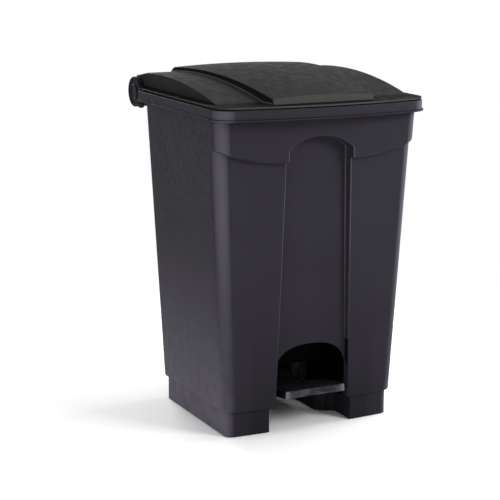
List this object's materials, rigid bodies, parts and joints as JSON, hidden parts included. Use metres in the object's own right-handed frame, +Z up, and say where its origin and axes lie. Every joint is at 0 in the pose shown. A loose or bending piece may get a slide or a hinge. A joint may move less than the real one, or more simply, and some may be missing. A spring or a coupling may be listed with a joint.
{
  "type": "pedal waste container",
  "caption": "Charcoal moulded step-on waste container: tapered body on two feet, rear-hinged domed lid with a raised panel, and a pedal lever and rod that lift it.",
  "frame": {"origin": "centre of the object's box on the floor", "axes": "+Z up, -Y towards the pedal and the user, +X to the right as that user sees it"},
  "size_m": [0.4, 0.4064, 0.6032],
  "materials": {
    "body": "fine moulded texture, charcoal with a slight violet cast",
    "lid": "fine moulded texture, near black",
    "plug": "satin charcoal",
    "pedal": "semi-gloss, slightly scuffed",
    "nylon": "satin black",
    "lever": "black powder coat",
    "steel": "blackened, satin",
    "rubber": "matt"
  },
  "bodies": {
    "container": {"body_shell": "body", "hinge_rod": "steel", "hinge_plug_left": "plug", "hinge_plug_right": "plug", "pivot_rod": "steel", "pivot_bracket_left": "nylon", "pivot_bracket_right": "nylon", "bracket_screws": "steel", "upper_guide": "nylon", "lower_guide": "nylon", "guide_screws": "steel"},
    "lid": {"lid": "lid", "lid_buffers": "rubber", "lug_pin": "steel"},
    "pedal": {"pedal_pad": "pedal", "pedal_lever": "lever", "pedal_screws": "steel", "lever_bush_left": "nylon", "lever_bush_right": "nylon", "lever_pin": "steel", "lever_pin_clips": "steel"},
    "lift_rod": {"lift_rod": "steel", "rod_fork": "nylon", "rod_foot": "nylon"}
  },
  "joints": [
    {"name": "lid_open", "type": "hinge", "parent": "container", "child": "lid", "pos_m": [0, 0.1737, 0.5527], "axis": [-1, 0, 0], "range_deg": [0, 78]},
    {"name": "pedal_press", "type": "hinge", "parent": "container", "child": "pedal", "pos_m": [0, -0.0226, 0.044], "axis": [1, 0, 0], "range_deg": [0, 19.5]},
    {"name": "rod_lift", "type": "slide", "parent": "container", "child": "lift_rod", "axis": [0, 0.0375, 0.9993], "range_m": [0, 0.0468]}
  ],
  "couplings": [
    {"joint": "pedal_press", "follows": "lid_open", "ratio": 0.25},
    {"joint": "rod_lift", "follows": "lid_open", "m_per_rad": 0.034322}
  ]
}
